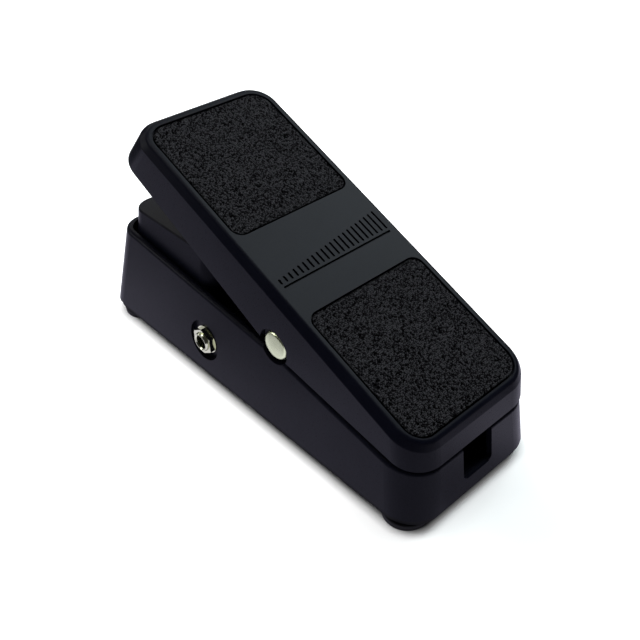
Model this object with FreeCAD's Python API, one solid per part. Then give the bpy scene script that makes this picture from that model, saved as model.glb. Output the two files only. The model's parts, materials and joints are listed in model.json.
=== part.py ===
"""Compact rocker expression pedal: a cast treadle on a cross shaft above a cast housing.

Frame: millimetres, +X to the player's right, +Y to the toe, +Z up. The origin is on the floor
under the middle of the housing. The model stands at rest, heel down, with the toe raised.
"""
import FreeCAD
import Part
import math
import os

Vec = FreeCAD.Vector
X_AXIS = Vec(1, 0, 0)
Z_AXIS = Vec(0, 0, 1)

# ---- driving dimensions -------------------------------------------------------------------
BASE_LENGTH = 199.0
BASE_WIDTH = 75.0
SIDE_SLOPE = math.tan(math.radians(4.7))
HEEL_SLOPE = math.tan(math.radians(9.5))
TOE_SLOPE = math.tan(math.radians(14.7))
HEEL_CORNER = 14.6
TOE_CORNER = 9.8
WALL = 2.6
RIM_ROUND = 1.8

FOOT_HEIGHT = 3.6
FOOT_RADIUS = 9.6
FOOT_ROUND = 0.7
FOOT_WELL_RADIUS = 4.0
FOOT_WELL_DEPTH = 1.9
FOOT_X = 27.2
FOOT_Y = 87.0
PLATE_THICK = 3.0
PLATE_INSET = 1.0
WALL_BOTTOM = FOOT_HEIGHT + PLATE_THICK

PIVOT = Vec(0, -20.8, 45.5)
RIM_AT_PIVOT = 41.5
RIM_SLOPE_HEEL = 0.183
RIM_SLOPE_TOE = 0.092
SKIRT_GAP = 1.4

REST_TILT = 22.6
TRAVEL = 21.5
TOP_HEIGHT = 24.1
TOP_HALF = 32.3
TOP_HEEL = -68.7
TOP_TOE = 100.9
TOP_HEEL_CORNER = 11.0
TOP_TOE_CORNER = 10.4
BEVEL_WIDTH = 2.6
BEVEL_DROP = 3.0
TOP_ROUND = 2.2
BEVEL_ROUND = 0.7
SKIRT_LOW = -8.0
SKIRT_HEEL_SLOPE = math.tan(math.radians(32.0))
SKIRT_TOE_SLOPE = math.tan(math.radians(17.9))
SKIRT_WALL = 1.8
CEILING = 20.1
RIB_DEPTH = 2.5
RIB_ROOT = 0.5

PAD_HALF = 29.8
PAD_THICK = 1.6
PAD_RECESS = 0.1
PAD_GROOVE = 0.5
TOE_PAD = (36.9, 98.0)
HEEL_PAD = (-66.5, -5.2)
PAD_OUTER_CORNER = 8.0
PAD_INNER_CORNER = 4.5

MARK_BARS = 22
MARK_HALF = 28.5
MARK_BASE = 11.5
MARK_WIDTH = 0.95
MARK_SHORT = 1.6
MARK_TALL = 9.2
MARK_DEPTH = 1.0
MARK_RULE_DROP = 2.0

NOTCH_WIDTH = 16.9
NOTCH_SILL = 12.8
NOTCH_CORNER = 1.8
NOTCH_BREAK = 0.5
HEEL_OUTSIDE = -BASE_LENGTH / 2 + (NOTCH_SILL - WALL_BOTTOM) * HEEL_SLOPE
HEEL_INSIDE = HEEL_OUTSIDE + WALL
FLOOR_TOP = 11.2
FLOOR_THICK = 2.6
FLOOR_END = -46.0
PLINTH_TOP = 61.6
PLINTH_HALF = 29.0
PLINTH_REAR = 24.0
PLINTH_TOE = 82.3
PLINTH_CORNER = 8.0
PLINTH_WALL = 2.6
PLINTH_TOE_SLOPE = math.tan(math.radians(7.0))
DECK_TOP = 36.6
DECK_THICK = 2.6

EAR_IN = 27.8
EAR_OUT = 31.4
EAR_RADIUS = 9.0
EAR_FOOT = 20.0
LUG_IN = 22.5
LUG_OUT = 27.0
SHAFT_RADIUS = 5.0
SHAFT_HALF = 32.2
BUSH_RADIUS = 6.5
CAP_RADIUS = 6.4
CAP_THICK = 2.4
CAP_FACE = 34.75
RECESS_RADIUS = 7.9
RUN_CLEAR = 0.05
FIT_CLEAR = 0.02

JACK_AT = Vec(0, 24.4, 21.95)
JACK_SEAT = 34.3
JACK_BOSS_IN = 31.0
JACK_BOSS_RADIUS = 13.0
JACK_RECESS_RADIUS = 9.4
JACK_THREAD = 4.5
JACK_BORE = 3.2
JACK_END = 38.4
JACK_MOUTH = 0.5
JACK_NUT_FLATS = 11.0
JACK_NUT_TURN = 27.0
JACK_NUT_THICK = 2.4
JACK_WASHER = 6.5
JACK_WASHER_THICK = 0.6
PLUG_ROOM = 3.6

MODULE = 0.8
PRESSURE_ANGLE = math.radians(25)
SECTOR_TEETH = 56
PINION_TEETH = 16
BACKLASH = 0.14
ADDENDUM = 0.85 * MODULE
DEDENDUM = 1.15 * MODULE
CENTRE_DISTANCE = MODULE * (SECTOR_TEETH + PINION_TEETH) / 2
SECTOR_X = (6.5, 10.5)
PINION_X = (6.0, 11.0)
POT_AXIS = PIVOT - Vec(0, 0, CENTRE_DISTANCE)
POT_RADIUS = 8.0
POT_FACE = -3.0
POT_DEPTH = 9.0
POT_BUSH = 3.5
POT_SHAFT = 3.0
BRACKET_THICK = 1.5
PRONG_PITCH = 2.6
PRONG_LENGTH = 6.0

PLATE_SCREWS = [(side * 30.5, y) for y in (-62.0, 6.0, 62.0) for side in (-1, 1)]
STOP_RADIUS = 5.0
TOE_STOP_HEIGHT = 5.4
HEEL_STOP_HEIGHT = 5.0
HEEL_POST_TOP = 37.0
HEEL_POST_RADIUS = 5.5
STOP_X = 14.0
TOE_STOP_Y = 64.0
HEEL_STOP_Y = -76.0
BOARD = Vec(44.0, 36.0, 1.6)
BOARD_CENTRE_Y = 58.0
BOARD_BOTTOM = 44.0
BOARD_HOLE_INSET = 4.0
HEADER_HEIGHT = 5.0
HEADER_Y = 45.5
WIRE_RADIUS = 0.6

parts = {}


# ---- helpers ------------------------------------------------------------------------------
def box(x0, x1, y0, y1, z0, z1):
    return Part.makeBox(x1 - x0, y1 - y0, z1 - z0, Vec(x0, y0, z0))


def rod(radius, start, end):
    """A cylinder from one point to another."""
    way = end - start
    return Part.makeCylinder(radius, way.Length, start, way)


def cross_rod(radius, x0, x1, centre=PIVOT):
    """A cylinder along X, centred on a point's Y and Z."""
    return rod(radius, Vec(x0, centre.y, centre.z), Vec(x1, centre.y, centre.z))


def ring(outer, inner, x0, x1, centre=PIVOT):
    return cross_rod(outer, x0, x1, centre).cut(cross_rod(inner, x0 - 1, x1 + 1, centre))


def hex_prism(flats, x0, x1, centre, first_corner=0.0):
    """A hexagonal nut blank along X; its first corner is turned from +Y towards +Z, in degrees."""
    reach = flats / math.sqrt(3)
    turns = [math.radians(first_corner + 60 * number) for number in range(7)]
    corners = [Vec(x0, centre.y + reach * math.cos(turn), centre.z + reach * math.sin(turn))
               for turn in turns]
    return Part.Face(Part.makePolygon(corners)).extrude(Vec(x1 - x0, 0, 0))


def fuse(shapes):
    body = shapes[0]
    if len(shapes) > 1:
        body = body.fuse(shapes[1:])
    return body.removeSplitter()


def mirrored(shape):
    """The shape and its mirror image across the middle plane."""
    return [shape, shape.mirror(Vec(0, 0, 0), X_AXIS)]


def rounded_outline(half_width, heel, toe, heel_radius, toe_radius, z):
    """A rectangle in plan with round corners, as a closed wire at height z."""
    corners = [(-1, heel + heel_radius, heel_radius, 180), (1, heel + heel_radius, heel_radius, 270),
               (1, toe - toe_radius, toe_radius, 0), (-1, toe - toe_radius, toe_radius, 90)]
    arcs = []
    for side, centre_y, radius, start in corners:
        centre_x = side * (half_width - radius)
        swing = [math.radians(start + turn) for turn in (0, 45, 90)]
        ends = [Vec(centre_x + radius * math.cos(a), centre_y + radius * math.sin(a), z) for a in swing]
        arcs.append(ends)
    edges = []
    for number, ends in enumerate(arcs):
        following = arcs[(number + 1) % 4]
        edges.append(Part.Arc(*ends).toShape())
        edges.append(Part.LineSegment(ends[2], following[0]).toShape())
    return Part.Wire(edges)


def loft(lower, upper):
    return Part.makeLoft([lower, upper], True, True)


def side_profile(points):
    """A slab across the whole pedal with the given outline, a list of (y, z)."""
    reach = BASE_WIDTH
    corners = [Vec(-reach, y, z) for y, z in points]
    return Part.Face(Part.makePolygon(corners + corners[:1])).extrude(Vec(2 * reach, 0, 0))


def to_rest(shape):
    """From the treadle's own frame (pivot at the origin, top level) to the rest pose."""
    moved = shape.copy()
    moved.rotate(Vec(0, 0, 0), X_AXIS, REST_TILT)
    moved.translate(PIVOT)
    return moved


def screw(head_radius, head_thick, shank_radius, length, seat, way):
    """A pan head screw: seat is the point under its head, way is the direction of the shank."""
    head = rod(head_radius, seat - way * head_thick, seat)
    shank = rod(shank_radius, seat, seat + way * length)
    slot = box(-head_radius, head_radius, -0.4, 0.4, -0.3, 0.3)
    slot.Placement = FreeCAD.Placement(seat - way * head_thick, FreeCAD.Rotation(Z_AXIS, way))
    return head.fuse(shank).removeSplitter().cut(slot)


# ---- housing ------------------------------------------------------------------------------
def rim_height(y):
    slope = RIM_SLOPE_TOE if y > PIVOT.y else RIM_SLOPE_HEEL
    return RIM_AT_PIVOT + slope * (y - PIVOT.y)


def base_outline(z, inset):
    rise = z - WALL_BOTTOM
    return rounded_outline(BASE_WIDTH / 2 - rise * SIDE_SLOPE - inset,
                           -BASE_LENGTH / 2 + rise * HEEL_SLOPE + inset,
                           BASE_LENGTH / 2 - rise * TOE_SLOPE - inset,
                           HEEL_CORNER - inset, TOE_CORNER - inset, z)


def base_block(z0, z1, inset=0.0):
    return loft(base_outline(z0, inset), base_outline(z1, inset))


def above_rim():
    far = BASE_LENGTH
    return side_profile([(-far, rim_height(-far)), (PIVOT.y, RIM_AT_PIVOT), (far, rim_height(far)),
                         (far, far), (-far, far)])


def plinth_outline(z, inset):
    drop = PLINTH_TOP - z
    return rounded_outline(PLINTH_HALF + drop * SIDE_SLOPE - inset, PLINTH_REAR + inset,
                           PLINTH_TOE + drop * PLINTH_TOE_SLOPE - inset,
                           PLINTH_CORNER - inset, PLINTH_CORNER - inset, z)


def housing_tub():
    """The outer wall with its rounded, sloping rim."""
    block = base_block(WALL_BOTTOM, PLINTH_TOP).cut(above_rim())
    rim_faces = [face for face in block.Faces if face.normalAt(0, 0).z > 0.9]
    ridge = [edge for edge in rim_faces[0].Edges if any(edge.isSame(other) for other in rim_faces[1].Edges)]
    rim_edges = [edge for face in rim_faces for edge in face.Edges if not any(edge.isSame(r) for r in ridge)]
    block = block.makeFillet(RIM_ROUND, rim_edges)
    return block.cut(base_block(WALL_BOTTOM - 1, PLINTH_TOP, WALL))


def plinth():
    """The raised island under the toe, and the deck that joins it to the wall."""
    deck_bottom = DECK_TOP - DECK_THICK
    deck = base_block(deck_bottom, DECK_TOP, WALL - 0.4)
    deck = deck.common(box(-50, 50, PLINTH_REAR, BASE_LENGTH, 0, 100))
    island = loft(plinth_outline(deck_bottom, 0), plinth_outline(PLINTH_TOP, 0))
    top_edges = [edge for edge in island.Edges if edge.BoundBox.ZMin > PLINTH_TOP - 0.01]
    island = island.makeFillet(0.8, top_edges)
    hollow = loft(plinth_outline(deck_bottom - 1, PLINTH_WALL), plinth_outline(PLINTH_TOP - 2.8, PLINTH_WALL))
    return deck.fuse(island).cut(hollow)


def ear():
    """One bearing ear, on the right, with its rib out to the wall."""
    cheek = box(EAR_IN, EAR_OUT, PIVOT.y - EAR_RADIUS, PIVOT.y + EAR_RADIUS, EAR_FOOT, PIVOT.z)
    crown = cross_rod(EAR_RADIUS, EAR_IN, EAR_OUT)
    rib = box(EAR_OUT - 0.5, 40, PIVOT.y - EAR_RADIUS, PIVOT.y + EAR_RADIUS,
              EAR_FOOT, RIM_AT_PIVOT - RECESS_RADIUS)
    rib = rib.common(base_block(EAR_FOOT - 1, RIM_AT_PIVOT, WALL / 2))
    return fuse([cheek, crown, rib])


def board_bosses():
    centres = board_corners()
    return [rod(3.0, Vec(x, y, BOARD_BOTTOM + BOARD.z), Vec(x, y, PLINTH_TOP - 2.0)) for x, y in centres]


def board_corners():
    across = BOARD.x / 2 - BOARD_HOLE_INSET
    along = BOARD.y / 2 - BOARD_HOLE_INSET
    return [(sx * across, BOARD_CENTRE_Y + sy * along) for sx in (-1, 1) for sy in (-1, 1)]


def base_housing():
    floor = base_block(FLOOR_TOP - FLOOR_THICK, FLOOR_TOP, WALL - 0.4)
    floor = floor.common(box(-50, 50, -BASE_LENGTH, FLOOR_END, 0, 100))
    jack_boss = cross_rod(JACK_BOSS_RADIUS, -BASE_WIDTH / 2, -JACK_BOSS_IN, JACK_AT)
    jack_boss = jack_boss.common(base_block(WALL_BOTTOM, PLINTH_TOP, 0.5))
    screw_bosses = [Part.makeCylinder(4.6, 14, Vec(x, y, WALL_BOTTOM)) for x, y in PLATE_SCREWS]
    inside = base_block(WALL_BOTTOM, PLINTH_TOP, 0.5)
    screw_bosses = [boss.common(inside) for boss in screw_bosses]
    post_foot = FLOOR_TOP - 1
    post_feet = [Vec(side * STOP_X, HEEL_STOP_Y, post_foot) for side in (-1, 1)]
    posts = [Part.makeCylinder(HEEL_POST_RADIUS, HEEL_POST_TOP - post_foot, at) for at in post_feet]
    additions = [floor, plinth(), jack_boss] + screw_bosses + posts + board_bosses() + mirrored(ear())
    body = housing_tub().fuse(additions)
    holes = [Part.makeCylinder(1.5 + FIT_CLEAR, 10, Vec(x, y, WALL_BOTTOM - 1)) for x, y in PLATE_SCREWS]
    holes += [Part.makeCylinder(1.0 + FIT_CLEAR, 8, Vec(x, y, BOARD_BOTTOM)) for x, y in board_corners()]
    holes += mirrored(cross_rod(RECESS_RADIUS, EAR_OUT, 45))
    holes += mirrored(cross_rod(BUSH_RADIUS, EAR_IN - 1, EAR_OUT + 1))
    holes.append(cross_rod(JACK_THREAD + 0.1, -45, -JACK_BOSS_IN + 1, JACK_AT))
    holes.append(cross_rod(JACK_RECESS_RADIUS, -45, -JACK_SEAT, JACK_AT))
    holes.append(heel_notch())
    return body.removeSplitter().cut(holes)


def heel_notch():
    """The cut through the heel wall, open at the rim, with round lower corners and broken edges."""
    half = NOTCH_WIDTH / 2
    slot = box(-half, half, -BASE_LENGTH, HEEL_INSIDE + 4, NOTCH_SILL, PLINTH_TOP)
    low_edges = [edge for edge in slot.Edges
                 if edge.BoundBox.ZMax < NOTCH_SILL + 0.01 and edge.BoundBox.YLength > 5]
    slot = slot.makeFillet(NOTCH_CORNER, low_edges)
    straight = half - NOTCH_CORNER
    flare = box(-straight, straight, -NOTCH_BREAK, NOTCH_BREAK, -NOTCH_BREAK, NOTCH_BREAK)
    flare.rotate(Vec(0, 0, 0), X_AXIS, 45)
    outer = flare.copy()
    outer.translate(Vec(0, HEEL_OUTSIDE, NOTCH_SILL))
    inner = flare.copy()
    inner.translate(Vec(0, HEEL_INSIDE, NOTCH_SILL))
    return fuse([slot, outer, inner])


def base_plate():
    plate = Part.Face(base_outline(WALL_BOTTOM, PLATE_INSET)).extrude(Vec(0, 0, -PLATE_THICK))
    holes = []
    for x, y in PLATE_SCREWS:
        holes.append(Part.makeCylinder(1.5 + FIT_CLEAR, 10, Vec(x, y, 0)))
        holes.append(Part.makeCylinder(3.0, 1.8, Vec(x, y, FOOT_HEIGHT)))
    for x, y in foot_centres():
        holes.append(Part.makeCylinder(1.5 + FIT_CLEAR, 10, Vec(x, y, 0)))
    for x, y in bracket_screw_points():
        holes.append(Part.makeCylinder(1.25 + FIT_CLEAR, 10, Vec(x, y, 0)))
    return plate.cut(holes)


# ---- feet and their screws ----------------------------------------------------------------
def foot_centres():
    return [(sx * FOOT_X, sy * FOOT_Y) for sy in (-1, 1) for sx in (-1, 1)]


def rubber_foot(x, y):
    foot = Part.makeCylinder(FOOT_RADIUS, FOOT_HEIGHT, Vec(x, y, 0))
    rims = [edge for edge in foot.Edges if edge.Curve.TypeId == "Part::GeomCircle"]
    foot = foot.makeFillet(FOOT_ROUND, rims)
    well = Part.makeCylinder(FOOT_WELL_RADIUS, FOOT_WELL_DEPTH, Vec(x, y, 0))
    return foot.cut([well, Part.makeCylinder(1.5 + FIT_CLEAR, 9, Vec(x, y, 0))])


def build_base():
    parts["base_housing"] = base_housing()
    parts["base_plate"] = base_plate()
    names = ["heel_left", "heel_right", "toe_left", "toe_right"]
    for name, (x, y) in zip(names, foot_centres()):
        parts["rubber_foot_" + name] = rubber_foot(x, y)
    feet = [screw(3.2, 1.4, 1.5, 4.6, Vec(x, y, FOOT_WELL_DEPTH), Z_AXIS) for x, y in foot_centres()]
    parts["foot_screws"] = Part.makeCompound(feet)
    plate = [screw(2.8, 1.5, 1.5, 8.0, Vec(x, y, FOOT_HEIGHT + 1.8), Z_AXIS) for x, y in PLATE_SCREWS]
    parts["base_plate_screws"] = Part.makeCompound(plate)
    parts["toe_stops"] = stops(TOE_STOP_Y, PLINTH_TOP, TOE_STOP_HEIGHT)
    parts["heel_stops"] = stops(HEEL_STOP_Y, HEEL_POST_TOP, HEEL_STOP_HEIGHT)


def stops(y, z, height):
    """A pair of round rubber buffers."""
    places = [Vec(side * STOP_X, y, z) for side in (-1, 1)]
    return Part.makeCompound([Part.makeCylinder(STOP_RADIUS, height, at) for at in places])


# ---- pivot --------------------------------------------------------------------------------
def pivot_bush(side):
    """A flanged bearing bush pressed into an ear from inside."""
    sleeve = ring(BUSH_RADIUS, SHAFT_RADIUS + RUN_CLEAR, EAR_IN, EAR_OUT)
    return sleeve if side > 0 else sleeve.mirror(Vec(0, 0, 0), X_AXIS)


def pivot_shaft():
    bores = mirrored(cross_rod(2.0 + FIT_CLEAR, SHAFT_HALF - 9, SHAFT_HALF))
    return cross_rod(SHAFT_RADIUS, -SHAFT_HALF, SHAFT_HALF).cut(bores)


def pivot_cap():
    """The right-hand cap screw: a flat round head on a short shank."""
    head = cross_rod(CAP_RADIUS, CAP_FACE - CAP_THICK, CAP_FACE)
    rim = [edge for edge in head.Edges if edge.BoundBox.XMin > CAP_FACE - 0.01]
    shank = cross_rod(2.0, SHAFT_HALF - 8, CAP_FACE - CAP_THICK)
    return head.makeFillet(0.8, rim).fuse(shank).removeSplitter()


def build_pivot():
    parts["pivot_bush_left"] = pivot_bush(-1)
    parts["pivot_bush_right"] = pivot_bush(1)
    parts["pivot_shaft"] = pivot_shaft()
    right, left = mirrored(pivot_cap())
    parts["pivot_cap_right"] = right
    parts["pivot_cap_left"] = left
    thrust = ring(8.5, SHAFT_RADIUS + RUN_CLEAR, LUG_OUT + 0.05, EAR_IN - 0.05)
    parts["friction_washers"] = Part.makeCompound(mirrored(thrust))
    spring = ring(6.4, SHAFT_RADIUS + RUN_CLEAR, EAR_OUT + 0.05, CAP_FACE - CAP_THICK)
    parts["tension_spring_washers"] = Part.makeCompound(mirrored(spring))


# ---- treadle ------------------------------------------------------------------------------
def treadle_outline(n, inset):
    """The skirt's plan at height n above the pivot, in the treadle's own frame."""
    drop = TOP_HEIGHT - BEVEL_DROP - n
    return rounded_outline(TOP_HALF + BEVEL_WIDTH - inset,
                           TOP_HEEL - BEVEL_WIDTH - drop * SKIRT_HEEL_SLOPE + inset,
                           TOP_TOE + BEVEL_WIDTH + drop * SKIRT_TOE_SLOPE - inset,
                           TOP_HEEL_CORNER + BEVEL_WIDTH - inset, TOP_TOE_CORNER + BEVEL_WIDTH - inset, n)


def pad_outline(span, heel_radius, toe_radius, grow, n):
    return rounded_outline(PAD_HALF + grow, span[0] - grow, span[1] + grow,
                           heel_radius + grow, toe_radius + grow, n)


def pad_corners():
    return {"toe_grip_pad": (TOE_PAD, PAD_INNER_CORNER, PAD_OUTER_CORNER),
            "heel_grip_pad": (HEEL_PAD, PAD_OUTER_CORNER, PAD_INNER_CORNER)}


def below_skirt():
    """What the skirt's V-shaped lower edge cuts away, in the rest pose."""
    far = BASE_LENGTH
    heel_start = RIM_AT_PIVOT + SKIRT_GAP
    closed = Vec(0, 0, heel_start - PIVOT.z)
    turn = FreeCAD.Rotation(X_AXIS, TRAVEL)
    foot = PIVOT + turn.multVec(closed)
    rise = math.tan(math.atan(RIM_SLOPE_TOE) + math.radians(TRAVEL))
    apex = (foot.z - rise * foot.y - heel_start + RIM_SLOPE_HEEL * PIVOT.y) / (RIM_SLOPE_HEEL - rise)
    apex_z = heel_start + RIM_SLOPE_HEEL * (apex - PIVOT.y)
    return side_profile([(-far, heel_start + RIM_SLOPE_HEEL * (-far - PIVOT.y)), (apex, apex_z),
                         (far, foot.z + rise * (far - foot.y)), (far, -far), (-far, -far)])


def round_ended_cut(start, end):
    """An engraved stroke between two (x, u) points on the top, as left by a round cutter."""
    way = (Vec(*end) - Vec(*start)).normalize() * (MARK_WIDTH / 2)
    side = Vec(-way.y, way.x, 0)
    low = Vec(0, 0, TOP_HEIGHT - MARK_DEPTH)
    near = Vec(*start) + low
    far = Vec(*end) + low
    edges = [Part.LineSegment(near + side, far + side), Part.Arc(far + side, far + way, far - side),
             Part.LineSegment(far - side, near - side), Part.Arc(near - side, near - way, near + side)]
    return Part.Face(Part.Wire([edge.toShape() for edge in edges])).extrude(Vec(0, 0, MARK_DEPTH + 1))


def level_mark():
    """A ramp of engraved bars over a plain rule, the plain sign for a level that grows."""
    strokes = []
    for number in range(MARK_BARS):
        share = number / (MARK_BARS - 1)
        x = MARK_HALF * (2 * share - 1)
        height = MARK_SHORT + (MARK_TALL - MARK_SHORT) * share
        strokes.append(round_ended_cut((x, MARK_BASE), (x, MARK_BASE + height)))
    rule = MARK_BASE - MARK_RULE_DROP
    strokes.append(round_ended_cut((-MARK_HALF, rule), (MARK_HALF, rule)))
    return strokes


def treadle_crown():
    """The skirt and the bevel above it, with a well rounded top edge."""
    band = TOP_HEIGHT - BEVEL_DROP
    skirt = loft(treadle_outline(SKIRT_LOW, 0), treadle_outline(band, 0))
    top = rounded_outline(TOP_HALF, TOP_HEEL, TOP_TOE, TOP_HEEL_CORNER, TOP_TOE_CORNER, TOP_HEIGHT)
    body = fuse([skirt, loft(treadle_outline(band, 0), top)])
    top_edges = [edge for edge in body.Edges if edge.BoundBox.ZMin > TOP_HEIGHT - 0.01]
    body = body.makeFillet(TOP_ROUND, top_edges)
    band_edges = [edge for edge in body.Edges
                  if abs(edge.BoundBox.ZMin - band) < 0.01 and edge.BoundBox.ZLength < 0.01]
    return body.makeFillet(BEVEL_ROUND, band_edges)


def treadle_ribs():
    low = CEILING - RIB_DEPTH
    high = CEILING + RIB_ROOT
    ribs = [box(side * 23.5 - 1, side * 23.5 + 1, -64, 97, low, high) for side in (-1, 1)]
    return ribs + [box(-33, 33, y - 1, y + 1, low, high) for y in (-36, 30)]


def treadle_lugs():
    """The two bearing lugs, and the rib that carries the gear sector, all in the rest pose."""
    high = CEILING + RIB_ROOT
    lug = to_rest(box(LUG_IN, LUG_OUT, -EAR_RADIUS, EAR_RADIUS, 0, high))
    sector_rib = to_rest(box(SECTOR_X[1], SECTOR_X[1] + 3.5, -10, 10, 7, high))
    return mirrored(lug) + mirrored(cross_rod(EAR_RADIUS, LUG_IN, LUG_OUT)) + [sector_rib]


def treadle_shell():
    hollow = loft(treadle_outline(SKIRT_LOW - 1, SKIRT_WALL), treadle_outline(CEILING, SKIRT_WALL))
    shell = treadle_crown().cut(hollow).fuse(treadle_ribs())
    shell = to_rest(shell).cut(below_skirt()).fuse(treadle_lugs()).removeSplitter()
    cuts = mirrored(cross_rod(RECESS_RADIUS, EAR_OUT, 45))
    cuts.append(cross_rod(SHAFT_RADIUS, -LUG_OUT - 1, LUG_OUT + 1))
    cuts += [rod(1.25 + FIT_CLEAR, at, at + Vec(20, 0, 0)) for at in sector_screw_points()]
    pocket_floor = TOP_HEIGHT - PAD_RECESS - PAD_THICK
    for span, heel_radius, toe_radius in pad_corners().values():
        pocket = Part.Face(pad_outline(span, heel_radius, toe_radius, PAD_GROOVE, pocket_floor))
        cuts.append(to_rest(pocket.extrude(Vec(0, 0, 5))))
    cuts += [to_rest(stroke) for stroke in level_mark()]
    return shell.cut(cuts)


def grip_pad(span, heel_radius, toe_radius):
    top = TOP_HEIGHT - PAD_RECESS
    underside = Part.Face(pad_outline(span, heel_radius, toe_radius, 0, top - PAD_THICK))
    return to_rest(underside.extrude(Vec(0, 0, PAD_THICK)))


def build_treadle():
    parts["treadle_shell"] = treadle_shell()
    for name, (span, heel_radius, toe_radius) in pad_corners().items():
        parts[name] = grip_pad(span, heel_radius, toe_radius)


# ---- gears --------------------------------------------------------------------------------
def half_tooth_angle(radius, teeth):
    """Half of a tooth's thickness at a radius, as an angle, for an involute tooth."""
    pitch_radius = MODULE * teeth / 2
    base_radius = pitch_radius * math.cos(PRESSURE_ANGLE)
    at_pitch = math.pi / (2 * teeth) - BACKLASH / (4 * pitch_radius)
    slope = math.acos(min(1.0, base_radius / radius))
    involute = math.tan(PRESSURE_ANGLE) - PRESSURE_ANGLE
    return at_pitch + involute - (math.tan(slope) - slope)


def tooth_outline(teeth, angle, centre, x):
    """One tooth's points, from its left root to its right root; angle is measured from +Y to +Z."""
    pitch_radius = MODULE * teeth / 2
    base_radius = pitch_radius * math.cos(PRESSURE_ANGLE)
    root = pitch_radius - DEDENDUM
    tip = pitch_radius + ADDENDUM
    start = max(root, base_radius)
    radii = [start + (tip - start) * step / 5 for step in range(6)]
    flank = [(root, half_tooth_angle(start, teeth))] + [(r, half_tooth_angle(r, teeth)) for r in radii]
    points = [(r, angle - half) for r, half in flank] + [(r, angle + half) for r, half in reversed(flank)]
    return [Vec(x, centre.y + r * math.cos(a), centre.z + r * math.sin(a)) for r, a in points]


def pinion_gear():
    """Its tooth spaces face straight up and down, so that it meshes with the sector at rest."""
    points = []
    for number in range(PINION_TEETH):
        angle = math.pi / 2 + (number + 0.5) * 2 * math.pi / PINION_TEETH
        points += tooth_outline(PINION_TEETH, angle, POT_AXIS, PINION_X[0])
    blank = Part.Face(Part.makePolygon(points + points[:1])).extrude(Vec(PINION_X[1] - PINION_X[0], 0, 0))
    hub = cross_rod(5.0, PINION_X[0] - 2.0, PINION_X[0], POT_AXIS)
    bore = cross_rod(POT_SHAFT, PINION_X[0] - 3, PINION_X[1] + 1, POT_AXIS)
    return blank.fuse(hub).removeSplitter().cut(bore)


def sector_screw_points():
    return [to_rest(Part.Vertex(Vec(SECTOR_X[0], u, 13.0))).Point for u in (-6.5, 6.5)]


def gear_sector():
    """Teeth below the pivot on a plate that is screwed to a rib of the treadle."""
    tooth_angle = 2 * math.pi / SECTOR_TEETH
    first, last = -6, 3
    points = []
    for number in range(first, last + 1):
        points += tooth_outline(SECTOR_TEETH, -math.pi / 2 + number * tooth_angle, PIVOT, SECTOR_X[0])
    frame = [(10, 0), (10, 17.5), (-10, 17.5), (-10, 0)]
    points += [to_rest(Part.Vertex(Vec(SECTOR_X[0], u, n))).Point for u, n in frame]
    blank = Part.Face(Part.makePolygon(points + points[:1])).extrude(Vec(SECTOR_X[1] - SECTOR_X[0], 0, 0))
    cuts = [cross_rod(SHAFT_RADIUS + 0.5, 0, 20)]
    cuts += [rod(1.25 + FIT_CLEAR, at - Vec(1, 0, 0), at + Vec(9, 0, 0)) for at in sector_screw_points()]
    return blank.cut(cuts)


def build_gears():
    parts["gear_sector"] = gear_sector()
    screws = [screw(2.4, 1.4, 1.25, 7.2, at, X_AXIS) for at in sector_screw_points()]
    parts["gear_sector_screws"] = Part.makeCompound(screws)
    parts["pinion_gear"] = pinion_gear()


# ---- potentiometer ------------------------------------------------------------------------
def bracket_screw_points():
    return [(5.0, POT_AXIS.y + step) for step in (-16.0, 16.0)]


def build_potentiometer():
    back = POT_FACE - POT_DEPTH
    can = cross_rod(POT_RADIUS, back, POT_FACE, POT_AXIS)
    bush_end = POT_FACE + 6.5
    bush = cross_rod(POT_BUSH, POT_FACE, bush_end, POT_AXIS)
    shaft_hole = cross_rod(POT_SHAFT + RUN_CLEAR, back + 3, bush_end + 1, POT_AXIS)
    parts["potentiometer_body"] = can.fuse(bush).removeSplitter().cut(shaft_hole)
    shaft = cross_rod(POT_SHAFT, back + 3.2, PINION_X[1] + 0.5, POT_AXIS)
    parts["potentiometer_shaft"] = shaft
    upright = box(POT_FACE, POT_FACE + BRACKET_THICK, POT_AXIS.y - 11, POT_AXIS.y + 11, WALL_BOTTOM, 27.5)
    flange = box(POT_FACE, 9.0, POT_AXIS.y - 20, POT_AXIS.y + 20, WALL_BOTTOM, WALL_BOTTOM + BRACKET_THICK)
    holes = [cross_rod(POT_BUSH + FIT_CLEAR, POT_FACE - 1, 0, POT_AXIS)]
    holes += [Part.makeCylinder(1.5, 9, Vec(x, y, WALL_BOTTOM - 1)) for x, y in bracket_screw_points()]
    parts["potentiometer_bracket"] = fuse([upright, flange]).cut(holes)
    face = POT_FACE + BRACKET_THICK
    parts["potentiometer_washer"] = ring(5.6, POT_BUSH + FIT_CLEAR, face, face + 0.5, POT_AXIS)
    nut = hex_prism(10.0, face + 0.5, face + 2.5, POT_AXIS)
    parts["potentiometer_nut"] = nut.cut(cross_rod(POT_BUSH + FIT_CLEAR, -5, 5, POT_AXIS))
    prong_root = POT_AXIS.y - POT_RADIUS
    prongs = [box(x, x + 1.4, prong_root - PRONG_LENGTH, prong_root + 0.2, POT_AXIS.z - 0.3, POT_AXIS.z + 0.3)
              for x in (back + 2 + PRONG_PITCH * k for k in range(3))]
    prongs = [prong.cut(cross_rod(POT_RADIUS, back, POT_FACE, POT_AXIS)) for prong in prongs]
    parts["potentiometer_terminals"] = Part.makeCompound(prongs)
    seat = WALL_BOTTOM + BRACKET_THICK
    screws = [screw(2.4, 1.4, 1.25, 4.0, Vec(x, y, seat), Z_AXIS * -1) for x, y in bracket_screw_points()]
    parts["bracket_screws"] = Part.makeCompound(screws)


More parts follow.
